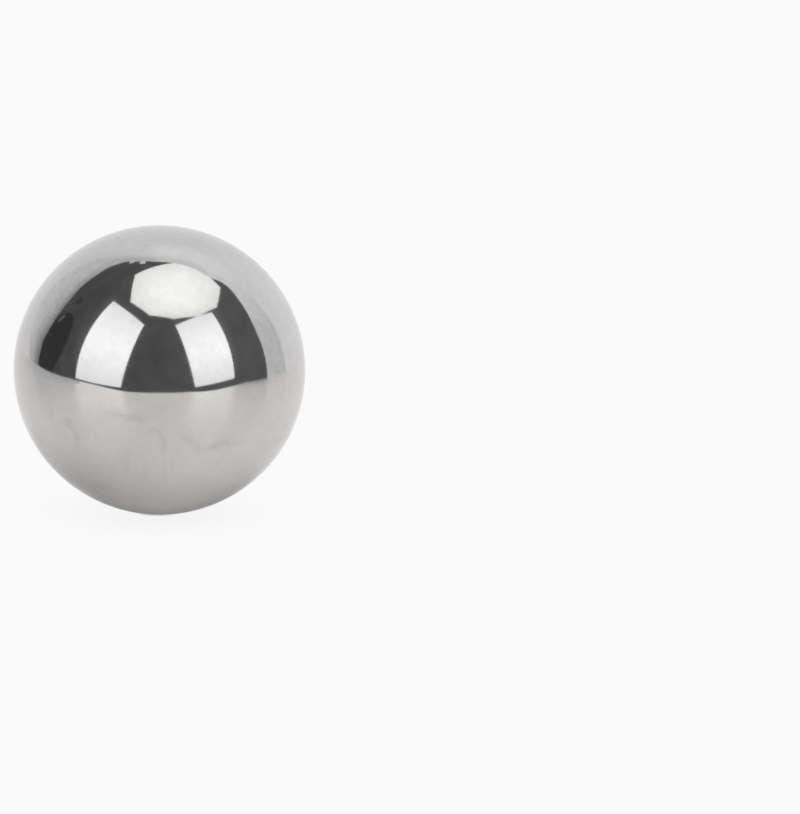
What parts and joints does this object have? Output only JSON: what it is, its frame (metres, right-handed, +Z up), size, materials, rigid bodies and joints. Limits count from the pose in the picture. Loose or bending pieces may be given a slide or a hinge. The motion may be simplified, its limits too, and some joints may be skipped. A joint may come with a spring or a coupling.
{
  "type": "steel ball",
  "caption": "Solid steel ball, ground round and mirror polished all over, for use as a weight, gauge, roller or bench and desk ornament.",
  "frame": {"origin": "centre of the ball", "axes": "+Z up through the ball's top, +X to the right and -Y towards the viewer; the ball is the same about every axis"},
  "size_m": [0.1, 0.1, 0.1],
  "materials": {
    "polished_steel": "mirror polished stainless steel with faint haze"
  },
  "bodies": {
    "root": {"ball": "polished_steel"}
  },
  "joints": []
}
